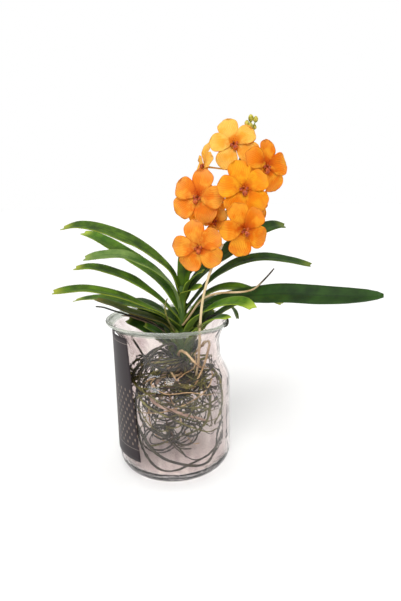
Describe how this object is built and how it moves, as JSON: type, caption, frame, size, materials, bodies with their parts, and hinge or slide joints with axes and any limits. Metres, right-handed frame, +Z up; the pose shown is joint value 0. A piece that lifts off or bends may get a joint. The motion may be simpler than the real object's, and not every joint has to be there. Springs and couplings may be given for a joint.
{
  "type": "vanda orchid in a glass vase",
  "caption": "Vanda orchid with arching strap leaves, an upright spray of orange blooms and bare roots standing in a clear glass vase.",
  "frame": {"origin": "middle of the vase's flat underside, on the axis of its body", "axes": "+Z up, -Y towards the front that the picture shows, +X towards the viewer's right"},
  "size_m": [0.4738, 0.2493, 0.5659],
  "materials": {
    "clear_glass": "polished",
    "dark_card": "satin",
    "leaf_green": "satin",
    "leaf_dark": "satin",
    "leaf_lime": "satin",
    "petal_orange": "satin",
    "petal_pale": "satin",
    "stalk_green": "satin",
    "stem_green": "matte",
    "stake_wood": "matte",
    "root_dark": "matte",
    "root_olive": "matte",
    "root_tan": "matte",
    "root_pink": "matte"
  },
  "bodies": {
    "root": {"vase": "clear_glass", "hanging_tag": "dark_card", "stem": "stem_green", "support_stake": "stake_wood", "flower_stalk_with_buds": "stalk_green", "roots_tangle_olive": "root_olive", "roots_coils_dark": "root_dark", "leaf_left_top": "leaf_green", "leaf_left_lime": "leaf_lime", "leaf_left_sheen": "leaf_green", "leaf_left_middle": "leaf_green", "leaf_left_long": "leaf_green", "leaf_left_low": "leaf_green", "leaf_left_brown": "leaf_dark", "leaf_left_broad": "leaf_dark", "leaf_crown_upright": "leaf_green", "leaf_crown_right": "leaf_lime", "leaf_crown_front": "leaf_green", "leaf_right_top": "leaf_dark", "leaf_right_high": "leaf_dark", "leaf_right_notched": "leaf_green", "leaf_right_dark_long": "leaf_dark", "leaf_right_lime": "leaf_lime", "leaf_right_short": "leaf_lime", "leaf_right_hooked": "leaf_dark", "leaf_right_back": "leaf_green", "bloom_top": "petal_pale", "bloom_left_upper": "petal_orange", "bloom_right_upper": "petal_orange", "bloom_centre": "petal_orange", "bloom_left": "petal_orange", "bloom_right": "petal_orange", "bloom_right_lower": "petal_orange", "bloom_left_lower": "petal_orange", "bloom_small_side": "petal_orange", "bloom_back_left": "petal_orange", "bloom_back_right": "petal_orange", "root_loop_low": "root_dark", "root_loop_thick": "root_dark", "root_up_left": "root_dark", "root_fork_low": "root_dark", "root_sweep_back": "root_olive", "root_pink_thick": "root_pink", "root_tan_upper": "root_tan", "root_tan_right": "root_tan", "root_right_wall": "root_olive", "root_left_back": "root_dark", "root_aerial_right": "root_tan", "root_arch_front": "root_olive"}
  },
  "joints": []
}
